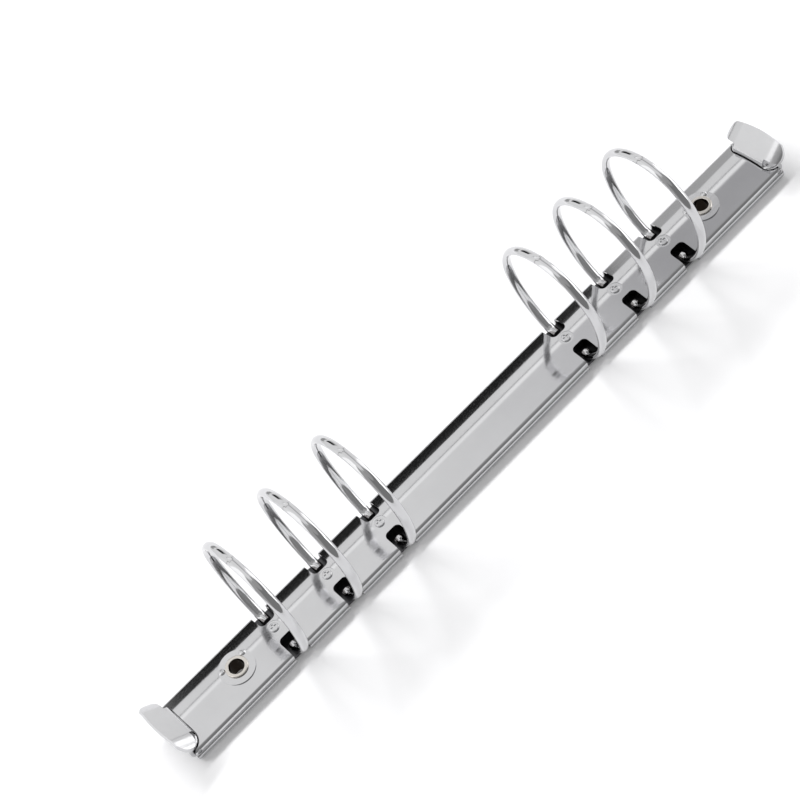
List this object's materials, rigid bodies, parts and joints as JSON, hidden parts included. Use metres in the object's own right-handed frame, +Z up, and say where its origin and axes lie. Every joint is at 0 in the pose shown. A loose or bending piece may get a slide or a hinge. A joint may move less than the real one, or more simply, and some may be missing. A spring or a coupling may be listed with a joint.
{
  "type": "ring binder mechanism",
  "caption": "Plated steel loose-leaf ring mechanism: arched riveting cover, snap-open half rings on twin hinge plates, and a booster lever at each end.",
  "frame": {"origin": "middle of the flat underside of the cover's hems, where the mechanism sits on its binder board", "axes": "+X along the mechanism from the near lever to the far lever, +Y across it towards the left half rings, +Z up through the rings"},
  "size_m": [0.2252, 0.0348, 0.0394],
  "materials": {
    "cover": "bright nickel plate on pressed steel",
    "hinge_plates": "duller nickel plate on pressed steel",
    "rings": "bright nickel plate on flat oval wire",
    "levers": "bright nickel plate on pressed steel",
    "eyelets": "bright nickel plate",
    "pins": "plain steel"
  },
  "bodies": {
    "cover_body": {"cover": "cover", "eyelet_near": "eyelets", "eyelet_far": "eyelets", "lever_pin_near": "pins", "lever_pin_far": "pins"},
    "left_wing": {"hinge_plate_left": "hinge_plates", "half_ring_left_1": "rings", "half_ring_left_2": "rings", "half_ring_left_3": "rings", "half_ring_left_4": "rings", "half_ring_left_5": "rings", "half_ring_left_6": "rings"},
    "right_wing": {"hinge_plate_right": "hinge_plates", "half_ring_right_1": "rings", "half_ring_right_2": "rings", "half_ring_right_3": "rings", "half_ring_right_4": "rings", "half_ring_right_5": "rings", "half_ring_right_6": "rings"},
    "near_lever": {"lever_near": "levers"},
    "far_lever": {"lever_far": "levers"}
  },
  "joints": [
    {"name": "left_wing_hinge", "type": "hinge", "parent": "cover_body", "child": "left_wing", "pos_m": [0, 0.008, 0.0013], "axis": [1, 0, 0], "range_deg": [-16, 0]},
    {"name": "right_wing_hinge", "type": "hinge", "parent": "cover_body", "child": "right_wing", "pos_m": [0, -0.008, 0.0013], "axis": [1, 0, 0], "range_deg": [0, 16]},
    {"name": "near_lever_hinge", "type": "hinge", "parent": "cover_body", "child": "near_lever", "pos_m": [-0.1083, 0, 0.00275], "axis": [0, 1, 0], "range_deg": [-20, 0]},
    {"name": "far_lever_hinge", "type": "hinge", "parent": "cover_body", "child": "far_lever", "pos_m": [0.1083, 0, 0.00275], "axis": [0, 1, 0], "range_deg": [0, 20]}
  ],
  "couplings": [
    {"joint": "right_wing_hinge", "follows": "left_wing_hinge", "ratio": -1},
    {"joint": "near_lever_hinge", "follows": "left_wing_hinge", "ratio": 1.25},
    {"joint": "far_lever_hinge", "follows": "left_wing_hinge", "ratio": -1.25}
  ]
}
